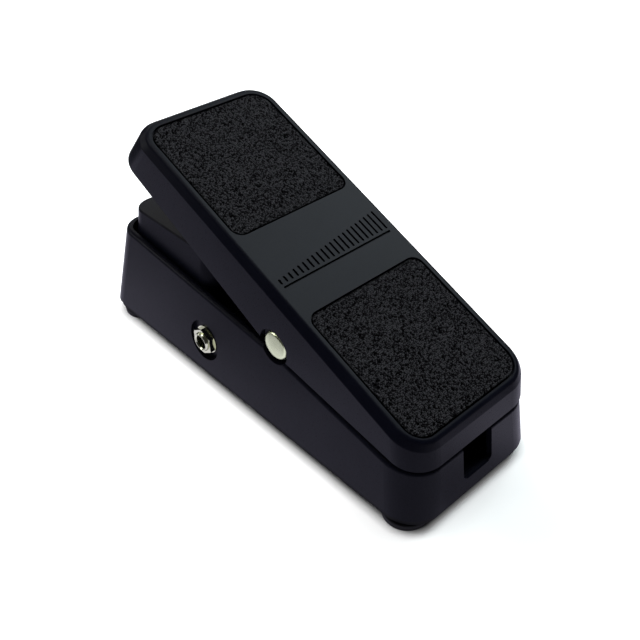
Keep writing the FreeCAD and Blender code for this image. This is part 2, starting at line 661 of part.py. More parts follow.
# ---- jack socket --------------------------------------------------------------------------
def jack_body():
    """The moulded block, with a slot over each spring contact and room for the plug."""
    body = box(-JACK_BOSS_IN, -4, JACK_AT.y - 8.5, JACK_AT.y + 8.5, JACK_AT.z - 7.5, JACK_AT.z + 7.5)
    upper = box(-24, -3, JACK_AT.y - 2, JACK_AT.y + 2, JACK_AT.z + 2, JACK_AT.z + 8)
    lower = box(-24, -3, JACK_AT.y - 2, JACK_AT.y + 2, JACK_AT.z - 8, JACK_AT.z - 2)
    return body.cut([upper, lower, cross_rod(PLUG_ROOM, -32, -6, JACK_AT)])


def jack_bushing():
    """The threaded tube, with a lead-in on its thread and a countersunk mouth."""
    tube = cross_rod(JACK_THREAD, -JACK_END, -JACK_BOSS_IN, JACK_AT)
    end = [edge for edge in tube.Edges if edge.BoundBox.XMax < -JACK_END + 0.01]
    tube = tube.makeChamfer(JACK_MOUTH / 2, end)
    mouth = Part.makeCone(JACK_BORE + JACK_MOUTH, JACK_BORE, JACK_MOUTH,
                          Vec(-JACK_END, JACK_AT.y, JACK_AT.z), X_AXIS)
    return tube.cut([cross_rod(JACK_BORE, -40, -30, JACK_AT), mouth])


def jack_nut(back):
    front = back - JACK_NUT_THICK
    nut = hex_prism(JACK_NUT_FLATS, front, back, JACK_AT, JACK_NUT_TURN)
    reach = JACK_NUT_FLATS / math.sqrt(3)
    crown = Part.makeCone(reach - 0.4, reach - 0.4 + 2 * JACK_NUT_THICK, JACK_NUT_THICK,
                          Vec(front, JACK_AT.y, JACK_AT.z), X_AXIS)
    return nut.common(crown).cut(cross_rod(JACK_THREAD + FIT_CLEAR, -45, -30, JACK_AT))


def jack_contact(way):
    """A spring leaf along the slot, bent out to its solder tip at the back."""
    near = JACK_AT.z + way * (PLUG_ROOM + 0.3)
    far = JACK_AT.z + way * (PLUG_ROOM + 0.8)
    tip = far + way * 3
    leaf = box(-22, -3.4, JACK_AT.y - 1.5, JACK_AT.y + 1.5, min(near, far), max(near, far))
    end = box(-3.9, -3.4, JACK_AT.y - 1.5, JACK_AT.y + 1.5, min(near, tip), max(near, tip))
    return leaf.fuse(end).removeSplitter()


def build_jack():
    parts["jack_body"] = jack_body()
    parts["jack_bushing"] = jack_bushing()
    washer_face = -JACK_SEAT - JACK_WASHER_THICK
    parts["jack_washer"] = ring(JACK_WASHER, JACK_THREAD + FIT_CLEAR, washer_face, -JACK_SEAT, JACK_AT)
    parts["jack_nut"] = jack_nut(washer_face)
    parts["jack_contacts"] = Part.makeCompound([jack_contact(-1), jack_contact(1)])


# ---- circuit board and wires --------------------------------------------------------------
def wire_run(points, bend):
    """A tube along straight runs joined by tangent arcs."""
    edges = []
    start = points[0]
    for here, corner, after in zip(points, points[1:], points[2:]):
        inward = (corner - here).normalize()
        outward = (after - corner).normalize()
        turn = inward.getAngle(outward)
        setback = bend * math.tan(turn / 2)
        enter = corner - inward * setback
        leave = corner + outward * setback
        middle = corner + (outward - inward).normalize() * (bend / math.cos(turn / 2) - bend)
        edges.append(Part.LineSegment(start, enter).toShape())
        edges.append(Part.Arc(enter, middle, leave).toShape())
        start = leave
    edges.append(Part.LineSegment(start, points[-1]).toShape())
    spine = Part.Wire(edges)
    circle = Part.makeCircle(WIRE_RADIUS, points[0], points[1] - points[0])
    return spine.makePipeShell([Part.Wire(circle)], True, True)


def board_components():
    """Two wire headers, an amplifier chip, a capacitor and two resistors, under the board."""
    top = BOARD_BOTTOM
    return [box(-12, -2, 43, 48, top - HEADER_HEIGHT, top), box(4, 14, 43, 48, top - HEADER_HEIGHT, top),
            box(-8, 6, 60, 66, top - 2.4, top), Part.makeCylinder(3.0, 7.0, Vec(11, 63, top - 7)),
            box(-17, -14, 56, 58, top - 1, top), box(-17, -14, 61, 63, top - 1, top)]


def jack_wires():
    """From the back of the jack up to the first header."""
    wires = []
    for k, way in enumerate((-1, 1)):
        start = Vec(-3.65, JACK_AT.y + way * 0.8, JACK_AT.z + 7.4)
        end = Vec(-9 + 3.5 * k, HEADER_Y, BOARD_BOTTOM - HEADER_HEIGHT)
        middle = Vec(-6 + 2 * k, 38 + 2 * k, 31.0)
        wires.append(wire_run([start, start + Vec(0, 0, 3.0), middle, Vec(end.x, end.y, 32.0), end], 1.6))
    return wires


def potentiometer_wires():
    """From the terminals down to the plate, along it past the jack, and up to the second header."""
    wires = []
    low = WALL_BOTTOM + 2 * WIRE_RADIUS
    for k in range(3):
        x = POT_FACE - POT_DEPTH + 2.7 + PRONG_PITCH * k
        start = Vec(x, POT_AXIS.y - POT_RADIUS - PRONG_LENGTH, POT_AXIS.z)
        end = Vec(6.5 + 2.5 * k, HEADER_Y, BOARD_BOTTOM - HEADER_HEIGHT)
        turn_y = start.y - 3
        lane = -13.5 - 2.0 * k
        route = [start, Vec(x, turn_y, start.z), Vec(x, turn_y, low), Vec(lane, turn_y, low),
                 Vec(lane, 36 + 2.2 * k, low), Vec(end.x, HEADER_Y, low + 1), end]
        wires.append(wire_run(route, 1.4))
    return wires


def build_board():
    x0 = -BOARD.x / 2
    y0 = BOARD_CENTRE_Y - BOARD.y / 2
    board = box(x0, -x0, y0, y0 + BOARD.y, BOARD_BOTTOM, BOARD_BOTTOM + BOARD.z)
    board = board.cut([Part.makeCylinder(1.2, 9, Vec(x, y, BOARD_BOTTOM - 3)) for x, y in board_corners()])
    parts["circuit_board"] = board
    screws = [screw(2.0, 1.2, 1.0, 6.5, Vec(x, y, BOARD_BOTTOM), Z_AXIS) for x, y in board_corners()]
    parts["board_screws"] = Part.makeCompound(screws)
    parts["board_components"] = Part.makeCompound(board_components())
    parts["jack_wires"] = Part.makeCompound(jack_wires())
    parts["potentiometer_wires"] = Part.makeCompound(potentiometer_wires())


build_base()
build_pivot()
build_treadle()
build_gears()
build_potentiometer()
build_jack()
build_board()

os.makedirs("parts", exist_ok=True)
for name, shape in parts.items():
    shape.exportStep("parts/" + name + ".step")
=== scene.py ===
"""Looks for the rocker expression pedal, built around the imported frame.

Metres, +X to the player's right, +Y to the toe, +Z up. The treadle's own frame has its origin at
the pivot, u towards the toe along the top and n out of the top; the rest pose tilts it by REST_TILT.
"""
import json
import math

import bmesh
import bpy
from mathutils import Matrix, Vector, noise


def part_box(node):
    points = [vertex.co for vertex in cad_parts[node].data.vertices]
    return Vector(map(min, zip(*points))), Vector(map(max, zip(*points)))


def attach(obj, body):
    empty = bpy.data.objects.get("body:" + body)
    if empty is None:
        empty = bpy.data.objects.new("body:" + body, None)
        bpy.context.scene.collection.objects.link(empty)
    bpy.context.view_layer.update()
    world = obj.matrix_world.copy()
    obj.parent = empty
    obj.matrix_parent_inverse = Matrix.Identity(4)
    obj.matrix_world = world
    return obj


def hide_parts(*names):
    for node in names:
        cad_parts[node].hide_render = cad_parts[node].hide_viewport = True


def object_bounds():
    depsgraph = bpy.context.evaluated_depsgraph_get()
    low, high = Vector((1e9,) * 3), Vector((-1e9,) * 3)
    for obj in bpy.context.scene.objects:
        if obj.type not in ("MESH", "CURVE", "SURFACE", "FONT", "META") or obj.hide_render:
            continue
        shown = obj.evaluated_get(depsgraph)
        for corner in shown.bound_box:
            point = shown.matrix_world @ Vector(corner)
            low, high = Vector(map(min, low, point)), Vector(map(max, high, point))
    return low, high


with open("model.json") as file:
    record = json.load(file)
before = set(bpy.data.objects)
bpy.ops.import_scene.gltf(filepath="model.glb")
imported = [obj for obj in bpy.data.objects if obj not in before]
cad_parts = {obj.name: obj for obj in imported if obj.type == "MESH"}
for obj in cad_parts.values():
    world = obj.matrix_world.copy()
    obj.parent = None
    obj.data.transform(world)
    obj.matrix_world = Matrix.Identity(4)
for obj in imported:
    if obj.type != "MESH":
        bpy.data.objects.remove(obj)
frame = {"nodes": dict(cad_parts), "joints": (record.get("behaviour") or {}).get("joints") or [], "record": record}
cad_low, cad_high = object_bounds()
nodes = frame["nodes"]

MM = 0.001
REST_TILT = math.radians(22.6)
HINGE = next(joint for joint in frame["joints"] if joint["name"] == "treadle_hinge")
PIVOT = Vector(HINGE["pos_m"])
TREADLE_TO_WORLD = Matrix.Translation(PIVOT) @ Matrix.Rotation(REST_TILT, 4, "X")

# The grip pads, in the treadle's frame: each span is the heel end's u and the toe end's u.
PAD_TOP = 24.0 * MM
PAD_THICK = 1.6 * MM
PAD_HALF = 29.8 * MM
PAD_OUTER_CORNER = 8.0 * MM
PAD_INNER_CORNER = 4.5 * MM
PAD_EDGE_ROUND = 0.65 * MM
PAD_STEP = 0.22 * MM
TOE_PAD = (36.9 * MM, 98.0 * MM)
HEEL_PAD = (-66.5 * MM, -5.2 * MM)
GRIT_SIZE = 0.74 * MM
GRIT_HEIGHT = 0.40 * MM
GROOVE_SLOPE = 2.9
GROOVE_SINK = 0.10
FINE_GRAIN = 2.3
FINE_GRAIN_SHARE = 0.5
FINE_GRAIN_SHIFT = Vector((7, 3, 0))

# The floor, the glowing sheet that only gloss sees, which paints the reflections, and the backdrop.
FLOOR_HALF = 6.0
FLOOR_ALBEDO = 0.7
FLOOR_GLOW = 0.90
FOOTPRINT_CORNER = 12 * MM
# Painted contact shadow: the glow fades from full at 2.5 mm outside the footprint to nothing at 3 mm inside it.
CONTACT_SHADE = (-3 * MM, 2.5 * MM)
# The painted reflection sheet: black, glowing a blue-tinted white, seen only by gloss, so the paint reflects its
# painted dark and bright patches.
NEAR_HALF = 0.28
NEAR_LIFT = 0.05 * MM
PAINTED_REFLECTION_GLOW = (1.08, 1.04, 1.30)
BACKDROP_RADIUS = 5.6
BACKDROP_GRID = (12, 48)
BACKDROP_START = math.radians(-4)
BACKDROP_GLOW = 0.97
WORLD_GLOW = 0.03

# The turned pieces.
TURNED_SEGMENTS = 96
ARC_STEPS = 6
SHARP_ANGLE = math.radians(40)
MERGE_DISTANCE = 0.0001 * MM
CAP_HEAD = 2.4 * MM
CAP_ROUND_END = 84
DOME_SHARES = (0.85, 0.7, 0.5, 0.3, 0.15)


# ---- camera, floor and light --------------------------------------------------------------
def add_camera():
    """A three-quarter view from above the heel-left corner."""
    azimuth = math.radians(-43.749)
    elevation = math.radians(38.647)
    roll = math.radians(0.5)
    place = Vector((-0.19218, -0.21121, 0.25619))
    right = Vector((math.cos(azimuth), math.sin(azimuth), 0))
    level = math.cos(elevation)
    back = Vector((math.sin(azimuth) * level, -math.cos(azimuth) * level, math.sin(elevation)))
    up = back.cross(right)
    turned_right = right * math.cos(roll) + up * math.sin(roll)
    turned_up = up * math.cos(roll) - right * math.sin(roll)
    camera = bpy.data.objects.new("camera", bpy.data.cameras.new("camera"))
    turn = Matrix((turned_right, turned_up, back)).transposed().to_4x4()
    camera.matrix_world = Matrix.Translation(place) @ turn
    camera.data.sensor_width = 36.0
    camera.data.lens = 47.04
    camera.data.clip_start = 0.01
    bpy.context.scene.collection.objects.link(camera)
    bpy.context.scene.camera = camera


def footprint_distance(material):
    """The distance in metres outside the object's rounded footprint, negative inside it."""
    tree = material.node_tree
    place = tree.nodes.new("ShaderNodeTexCoord")
    value = place.outputs["Object"]
    half = Vector((min(-cad_low.x, cad_high.x), min(-cad_low.y, cad_high.y), 0))
    half -= Vector((FOOTPRINT_CORNER, FOOTPRINT_CORNER, 0))
    steps = (("ABSOLUTE", None), ("SUBTRACT", half), ("MAXIMUM", Vector((0, 0, 0))))
    for operation, other in steps:
        node = tree.nodes.new("ShaderNodeVectorMath")
        node.operation = operation
        tree.links.new(value, node.inputs[0])
        if other is not None:
            node.inputs[1].default_value = other
        value = node.outputs["Vector"]
    length = tree.nodes.new("ShaderNodeVectorMath")
    length.operation = "LENGTH"
    tree.links.new(value, length.inputs[0])
    outside = tree.nodes.new("ShaderNodeMath")
    outside.operation = "SUBTRACT"
    outside.inputs[1].default_value = FOOTPRINT_CORNER
    tree.links.new(length.outputs["Value"], outside.inputs[0])
    return outside.outputs["Value"]


def soft_shade(material, centre, core, edge, depth):
    """A painted soft round patch on a sheet's glow: 1 - depth within core and 1 beyond edge; a negative depth
    paints a brighter spot.
    """
    tree = material.node_tree
    place = tree.nodes.new("ShaderNodeTexCoord")
    reach = tree.nodes.new("ShaderNodeVectorMath")
    reach.operation = "DISTANCE"
    reach.inputs[1].default_value = (*centre, 0)
    tree.links.new(place.outputs["Object"], reach.inputs[0])
    return remap(material, reach.outputs["Value"], 1 - depth, 1, core, edge)


def floor_sheet(name, half, height, albedo, glow, shades):
    """A pale sheet that glows a little, with a painted contact shadow close under the object and the painted soft
    patches of the shades.
    """
    mesh = bpy.data.meshes.new(name)
    signs = ((-1, -1), (1, -1), (1, 1), (-1, 1))
    mesh.from_pydata([(half * x, half * y, height) for x, y in signs], [], [(0, 1, 2, 3)])
    sheet = bpy.data.objects.new(name, mesh)
    bpy.context.scene.collection.objects.link(sheet)
    material, bsdf = new_material(name)
    bsdf.inputs["Base Color"].default_value = (albedo, albedo, albedo, 1)
    bsdf.inputs["Roughness"].default_value = 0.9
    bsdf.inputs["Specular IOR Level"].default_value = 0.0
    bsdf.inputs["Emission Color"].default_value = (*glow, 1)
    # The glow is painted dark close under the object (painted contact shadow), then dimmed or brightened by each
    # painted patch.
    strength = remap(material, footprint_distance(material), 0, FLOOR_GLOW, *CONTACT_SHADE)
    for shade in shades:
        shaded = material.node_tree.nodes.new("ShaderNodeMath")
        shaded.operation = "MULTIPLY"
        material.node_tree.links.new(strength, shaded.inputs[0])
        material.node_tree.links.new(soft_shade(material, *shade), shaded.inputs[1])
        strength = shaded.outputs["Value"]
    material.node_tree.links.new(strength, bsdf.inputs["Emission Strength"])
    mesh.materials.append(material)
    return sheet


def add_floor():
    """The floor with a painted shadow beside the heel, and a smaller sheet that gloss sees instead, which paints
    the reflections: painted dark patches, so that the horizon stays dark, and a painted bright patch by the heel.
    """
    # A painted soft shadow on the floor beside the heel.
    painted_heel_shadow = ((5 * MM, cad_low.y - 20 * MM), 12 * MM, 80 * MM, 0.5)
    floor = floor_sheet("floor", FLOOR_HALF, 0.0, FLOOR_ALBEDO, (1, 1, 1), [painted_heel_shadow])
    floor.visible_glossy = False
    # Painted reflections: dark patches under the heel wall, at the heel's horizon and left of the toe and middle,
    # and a bright patch by the heel.
    dark_reflection_under_heel_wall = ((5 * MM, cad_low.y - 8 * MM), 14 * MM, 36 * MM, 0.55)
    bright_reflection_by_heel = ((45 * MM, -140 * MM), 15 * MM, 50 * MM, -0.6)
    dark_reflection_heel_horizon = ((160 * MM, -285 * MM), 127 * MM, 157 * MM, 1.0)
    dark_reflection_left_of_toe = ((-150 * MM, 165 * MM), 70 * MM, 115 * MM, 0.45)
    dark_reflection_left_of_middle = ((-150 * MM, 40 * MM), 75 * MM, 105 * MM, 0.5)
    shades = [dark_reflection_under_heel_wall, bright_reflection_by_heel, dark_reflection_heel_horizon, dark_reflection_left_of_toe, dark_reflection_left_of_middle]
    reflection_sheet = floor_sheet("painted_reflection_sheet", NEAR_HALF, NEAR_LIFT, 0.0, PAINTED_REFLECTION_GLOW, shades)
    reflection_sheet.visible_camera = False
    reflection_sheet.visible_diffuse = False
    reflection_sheet.visible_shadow = False


def add_backdrop():
    """A pale dome far behind everything, which only the camera sees."""
    rows, columns = BACKDROP_GRID
    vertices = []
    for row in range(rows + 1):
        rise = BACKDROP_START + (math.pi / 2 - BACKDROP_START) * row / rows
        for column in range(columns):
            turn = 2 * math.pi * column / columns
            level = math.cos(rise)
            way = Vector((level * math.cos(turn), level * math.sin(turn), math.sin(rise)))
            vertices.append(BACKDROP_RADIUS * way)
    faces = []
    for row in range(rows):
        for column in range(columns):
            here = row * columns + column
            beside = row * columns + (column + 1) % columns
            faces.append((here, beside, beside + columns, here + columns))
    material, bsdf = new_material("backdrop")
    bsdf.inputs["Base Color"].default_value = (0, 0, 0, 1)
    bsdf.inputs["Specular IOR Level"].default_value = 0.0
    bsdf.inputs["Emission Color"].default_value = (1, 1, 1, 1)
    bsdf.inputs["Emission Strength"].default_value = BACKDROP_GLOW
    dome = add_mesh("backdrop", vertices, faces, material)
    dome.visible_glossy = False
    dome.visible_diffuse = False
    dome.visible_transmission = False
    dome.visible_shadow = False


def add_area_light(name, place, target, size, power, colour=(1, 1, 1)):
    lamp = bpy.data.lights.new(name, "AREA")
    lamp.shape = "RECTANGLE"
    lamp.size = size[0]
    lamp.size_y = size[1]
    lamp.energy = power
    lamp.color = colour
    holder = bpy.data.objects.new(name, lamp)
    holder.location = place
    way = Vector(target) - Vector(place)
    holder.rotation_euler = way.to_track_quat("-Z", "Y").to_euler()
    bpy.context.scene.collection.objects.link(holder)


def add_lights():
    world = bpy.data.worlds.new("studio")
    bpy.context.scene.world = world
    world.use_nodes = True
    background = world.node_tree.nodes["Background"]
    background.inputs["Color"].default_value = (1, 1, 1, 1)
    background.inputs["Strength"].default_value = WORLD_GLOW
    middle = (0, 0, 0.05)
    add_area_light("overhead", (0.72, 0.02, 1.15), middle, (0.7, 1.3), 16.0, (0.93, 1.04, 1.06))
    add_area_light("behind", (0.55, 1.05, 0.85), middle, (1.0, 0.6), 3.0)
    add_area_light("toe_left", (-0.28, 1.30, 0.66), middle, (0.5, 0.4), 0.8)
    add_area_light("corner_strip", (-0.34, 0.36, 0.26), middle, (0.25, 0.2), 0.5)
    add_area_light("key", (-0.25, 0.42, 1.30), middle, (0.45, 0.45), 3.5)


# ---- materials ----------------------------------------------------------------------------
COAT_GRAIN = 0.35 * MM
COAT_GRAIN_DEPTH = 0.008 * MM
COAT_UNEVENNESS = 14 * MM
COAT_WAVE_DEPTH = 0.05 * MM
MARK_SIZE = 0.25 * MM
MARK_DEPTH = 0.004 * MM
TARNISH_SIZE = 3 * MM
DUST_SIZE = 0.35 * MM
DUST_DEPTH = 0.05 * MM
# Painted shade for the grit's grooves and painted highlight for its crests.
GRIT_GROOVE_SHADE = (0.0002, 0.0002, 0.0003)
GRIT_CREST_HIGHLIGHT = (0.040, 0.038, 0.043)
ALONG_X = (0.03, 1, 1)


def new_material(name):
    material = bpy.data.materials.new(name)
    material.use_nodes = True
    return material, material.node_tree.nodes["Principled BSDF"]


def object_noise(material, size, detail, stretch=(1, 1, 1)):
    """A noise in the piece's own coordinates, with features of about the given size in metres."""
    tree = material.node_tree
    place = tree.nodes.new("ShaderNodeTexCoord")
    mapping = tree.nodes.new("ShaderNodeMapping")
    mapping.inputs["Scale"].default_value = stretch
    texture = tree.nodes.new("ShaderNodeTexNoise")
    texture.inputs["Scale"].default_value = 1 / size
    texture.inputs["Detail"].default_value = detail
    tree.links.new(place.outputs["Object"], mapping.inputs["Vector"])
    tree.links.new(mapping.outputs["Vector"], texture.inputs["Vector"])
    return texture.outputs["Fac"]


def remap(material, value, low, high, from_low=0.3, from_high=0.7):
    node = material.node_tree.nodes.new("ShaderNodeMapRange")
    node.inputs["From Min"].default_value = from_low
    node.inputs["From Max"].default_value = from_high
    node.inputs["To Min"].default_value = low
    node.inputs["To Max"].default_value = high
    material.node_tree.links.new(value, node.inputs["Value"])
    return node.outputs["Result"]


def tinted(material, value, dark, light):
    """A colour between two, by a value from 0 to 1."""
    node = material.node_tree.nodes.new("ShaderNodeMix")
    node.data_type = "RGBA"
    node.inputs["A"].default_value = (*dark, 1)
    node.inputs["B"].default_value = (*light, 1)
    material.node_tree.links.new(value, node.inputs["Factor"])
    return node.outputs["Result"]


def add_bump(material, bsdf, heights):
    """Chained bumps: each height is (value, distance in metres, strength)."""
    tree = material.node_tree
    normal = None
    for value, distance, strength in heights:
        bump = tree.nodes.new("ShaderNodeBump")
        bump.inputs["Distance"].default_value = distance
        bump.inputs["Strength"].default_value = strength
        tree.links.new(value, bump.inputs["Height"])
        if normal is not None:
            tree.links.new(normal, bump.inputs["Normal"])
        normal = bump.outputs["Normal"]
    tree.links.new(normal, bsdf.inputs["Normal"])


def coated(name, dark, light, roughness, specular=0.5):
    """Paint, plastic or rubber: a fine grain, a slow unevenness, and colour and gloss to match."""
    material, bsdf = new_material(name)
    tree = material.node_tree
    fine = object_noise(material, COAT_GRAIN, detail=3.0)
    slow = object_noise(material, COAT_UNEVENNESS, detail=4.0)
    colour = tinted(material, remap(material, slow, 0, 1), dark, light)
    tree.links.new(colour, bsdf.inputs["Base Color"])
    gloss = remap(material, fine, roughness - 0.06, roughness + 0.06)
    tree.links.new(gloss, bsdf.inputs["Roughness"])
    bsdf.inputs["Specular IOR Level"].default_value = specular
    add_bump(material, bsdf, [(fine, COAT_GRAIN_DEPTH, 1.0), (slow, COAT_WAVE_DEPTH, 0.3)])
    return material


def plated(name, dark, light, roughness, scratch=(1, 1, 1)):
    """Bare or plated metal, with fine marks stretched along one way and a slight tarnish."""
    material, bsdf = new_material(name)
    tree = material.node_tree
    marks = object_noise(material, MARK_SIZE, detail=2.0, stretch=scratch)
    tarnish = object_noise(material, TARNISH_SIZE, detail=3.0)
    colour = tinted(material, remap(material, tarnish, 0, 1), dark, light)
    tree.links.new(colour, bsdf.inputs["Base Color"])
    gloss = remap(material, marks, roughness - 0.05, roughness + 0.08)
    tree.links.new(gloss, bsdf.inputs["Roughness"])
    bsdf.inputs["Metallic"].default_value = 1.0
    add_bump(material, bsdf, [(marks, MARK_DEPTH, 1.0)])
    return material


def grit_rubber(name):
    """Coarse moulded grit coloured by its relief: a painted highlight on the crests and painted shade that keeps
    the grooves black.
    """
    material, bsdf = new_material(name)
    tree = material.node_tree
    height = tree.nodes.new("ShaderNodeAttribute")
    height.attribute_name = "grit"
    dust = object_noise(material, DUST_SIZE, detail=3.0)
    # The relief sets the painted light: painted shade in the grooves, painted highlight colour and a higher
    # specular level on the crests.
    crest = remap(material, height.outputs["Fac"], 0, 1, 0.15, 1.0)
    tree.links.new(tinted(material, crest, GRIT_GROOVE_SHADE, GRIT_CREST_HIGHLIGHT), bsdf.inputs["Base Color"])
    tree.links.new(remap(material, crest, 0, 0.07, 0, 1), bsdf.inputs["Specular IOR Level"])
    tree.links.new(remap(material, dust, 0.45, 0.65), bsdf.inputs["Roughness"])
    add_bump(material, bsdf, [(dust, DUST_DEPTH, 1.0)])
    return material


# Each finish: its darker colour, its lighter colour, its roughness, then its specular level.
COATED = {
    "charcoal_paint": ((0.0028, 0.0030, 0.0066), (0.0038, 0.0040, 0.0082), 0.32, 0.055),
    "plate_paint": ((0.0030, 0.0030, 0.0040), (0.0040, 0.0040, 0.0050), 0.5, 0.05),
    "black_steel": ((0.006, 0.006, 0.006), (0.012, 0.012, 0.012), 0.35, 0.5),
    "foot_rubber": ((0.0030, 0.0030, 0.0032), (0.0045, 0.0045, 0.0048), 0.45, 0.10),
    "stop_rubber": ((0.006, 0.006, 0.006), (0.010, 0.010, 0.010), 0.6, 0.2),
    "bush_nylon": ((0.72, 0.70, 0.63), (0.80, 0.78, 0.71), 0.4),
    "gear_acetal": ((0.74, 0.73, 0.69), (0.82, 0.81, 0.77), 0.45),
    "jack_plastic": ((0.016, 0.016, 0.016), (0.024, 0.024, 0.024), 0.5),
    "board_green": ((0.010, 0.085, 0.035), (0.014, 0.115, 0.048), 0.25),
    "component_black": ((0.015, 0.015, 0.016), (0.025, 0.025, 0.026), 0.55),
    "wire_pvc": ((0.30, 0.020, 0.018), (0.36, 0.028, 0.024), 0.4),
}
# Each finish: its darker colour, its lighter colour, its roughness, then the stretch of its marks.
PLATED = {
    "nickel": ((0.60, 0.62, 0.44), (0.70, 0.72, 0.53), 0.16),
    "cap_nickel": ((0.71, 0.78, 0.48), (0.81, 0.88, 0.57), 0.3),
    "zinc_steel": ((0.52, 0.53, 0.54), (0.64, 0.64, 0.62), 0.35),
    "shaft_steel": ((0.48, 0.48, 0.48), (0.56, 0.56, 0.55), 0.25, ALONG_X),
    "spring_steel": ((0.30, 0.30, 0.31), (0.42, 0.42, 0.42), 0.35),
    "bronze": ((0.50, 0.33, 0.17), (0.62, 0.44, 0.24), 0.42),
    "pot_can": ((0.46, 0.46, 0.44), (0.56, 0.56, 0.53), 0.35),
    "tin": ((0.56, 0.54, 0.50), (0.68, 0.66, 0.60), 0.3),
}


def make_materials():
    """Every slot's material, by the slot's name."""
    made = {slot: coated(slot, *finish) for slot, finish in COATED.items()}
    made.update({slot: plated(slot, *finish) for slot, finish in PLATED.items()})
    made["grip_rubber"] = grit_rubber("grip_rubber")
    return made


def dress_nodes(materials):
    """Give every CAD node the material of its slot."""
    for entry in frame["record"]["subparts"]:
        slots = nodes[entry["node"]].data.materials
        slots.clear()
        slots.append(materials[entry["material_slot"]])


# ---- grip pads ----------------------------------------------------------------------------
def corner_blend(across, along):
    """Map a square quadrant onto a round one, both in units of the corner's radius."""
    return across * math.sqrt(1 - along * along / 2), along * math.sqrt(1 - across * across / 2)


def rounded_place(x, u, half, span, heel_radius, toe_radius):
    """Move a point of the plain rectangle into the rectangle with round corners."""
    for radius, edge, way in ((heel_radius, span[0], -1), (toe_radius, span[1], 1)):
        across = (abs(x) - (half - radius)) / radius
        along = way * (u - (edge - way * radius)) / radius
        if across > 0 and along > 0:
            across, along = corner_blend(across, along)
            outward = half - radius + across * radius
            return math.copysign(outward, x), edge - way * radius + way * along * radius
    return x, u


def edge_distance(x, u, half, span, heel_radius, toe_radius):
    """How far inside the rounded outline a point is."""
    for radius, edge, way in ((heel_radius, span[0], -1), (toe_radius, span[1], 1)):
        across = abs(x) - (half - radius)
        along = way * (u - (edge - way * radius))
        if across > 0 and along > 0:
            return radius - math.hypot(across, along)
    return min(half - abs(x), u - span[0], span[1] - u)


def grit_height(x, u):
    """The moulded grit's relief at a point of the pad, from 0 in the worm-like grooves to 1."""
    here = Vector((x, u, 0)) / GRIT_SIZE
    grain = noise.noise(here * FINE_GRAIN + FINE_GRAIN_SHIFT)
    relief = GROOVE_SLOPE * abs(noise.noise(here)) - GROOVE_SINK + FINE_GRAIN_SHARE * grain
    return min(1.0, max(0.0, relief))


def grip_pad(node, span, heel_radius, toe_radius, material):
    """A pad with a gritty top, a rounded edge and a flat underside."""
    columns = round(2 * PAD_HALF / PAD_STEP)
    rows = round((span[1] - span[0]) / PAD_STEP)
    vertices = []
    relief = []
    for row in range(rows + 1):
        for column in range(columns + 1):
            x = -PAD_HALF + 2 * PAD_HALF * column / columns
            u = span[0] + (span[1] - span[0]) * row / rows
            x, u = rounded_place(x, u, PAD_HALF, span, heel_radius, toe_radius)
            inside = max(0.0, edge_distance(x, u, PAD_HALF, span, heel_radius, toe_radius))
            rolled = max(0.0, PAD_EDGE_ROUND - inside)
            drop = PAD_EDGE_ROUND - math.sqrt(max(0.0, PAD_EDGE_ROUND ** 2 - rolled ** 2))
            fade = min(1.0, inside / PAD_EDGE_ROUND)
            grit = grit_height(x, u) * fade
            relief.append(grit)
            vertices.append((x, u, PAD_TOP - drop + GRIT_HEIGHT * (grit - 1) * fade))
    width = columns + 1
    faces = []
    for row in range(rows):
        for column in range(columns):
            here = row * width + column
            faces.append((here, here + 1, here + 1 + width, here + width))
    rim = list(range(columns))
    rim += [row * width + columns for row in range(rows)]
    rim += [rows * width + column for column in range(columns, 0, -1)]
    rim += [row * width for row in range(rows, 0, -1)]
    count = len(rim)
    first_low = len(vertices)
    vertices += [(vertices[i][0], vertices[i][1], PAD_TOP - PAD_THICK) for i in rim]
    relief += [0.0] * count
    for k in range(count):
        following = (k + 1) % count
        faces.append((rim[following], rim[k], first_low + k, first_low + following))
    faces.append(tuple(first_low + k for k in reversed(range(count))))
    places = [TREADLE_TO_WORLD @ Vector(vertex) for vertex in vertices]
    piece = add_mesh(node + "_rubber", places, faces, material)
    piece.data.attributes.new("grit", "FLOAT", "POINT").data.foreach_set("value", relief)
    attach(piece, "treadle")
    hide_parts(node)


def add_mesh(name, vertices, faces, material):
    mesh = bpy.data.meshes.new(name)
    mesh.from_pydata([tuple(v) for v in vertices], [], faces)
    mesh.validate()
    mesh.polygons.foreach_set("use_smooth", [True] * len(mesh.polygons))
    mesh.materials.append(material)
    piece = bpy.data.objects.new(name, mesh)
    bpy.context.scene.collection.objects.link(piece)
    return piece


# ---- turned pieces ------------------------------------------------------------------------
def arc_points(centre, radius, start, end):
    """Points of a quarter round in a (radius, height) profile, angles in degrees."""
    points = []
    for step in range(ARC_STEPS + 1):
        turn = math.radians(start + (end - start) * step / ARC_STEPS)
        points.append((centre[0] + radius * math.cos(turn), centre[1] + radius * math.sin(turn)))
    return points


def turned(name, profile, place, material):
    """A closed turned piece; its profile runs round the section once, or from axis to axis."""
    vertices = []
    for segment in range(TURNED_SEGMENTS):
        turn = 2 * math.pi * segment / TURNED_SEGMENTS
        across, along = math.cos(turn), math.sin(turn)
        vertices += [place @ Vector((r * across, r * along, h)) for r, h in profile]
    count = len(profile)
    faces = []
    for segment in range(TURNED_SEGMENTS):
        here = segment * count
        after = (segment + 1) % TURNED_SEGMENTS * count
        for k in range(count):
            following = (k + 1) % count
            if profile[k][0] or profile[following][0]:
                faces.append((here + k, after + k, after + following, here + following))
    piece = add_mesh(name, vertices, faces, material)
    whole = bmesh.new()
    whole.from_mesh(piece.data)
    bmesh.ops.remove_doubles(whole, verts=whole.verts, dist=MERGE_DISTANCE)
    bmesh.ops.recalc_face_normals(whole, faces=whole.faces)
    whole.to_mesh(piece.data)
    whole.free()
    piece.data.set_sharp_from_angle(angle=SHARP_ANGLE)
    return piece


def stand_for(piece, node):
    """The piece takes the place of a CAD node of the base."""
    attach(piece, "base")
    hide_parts(node)


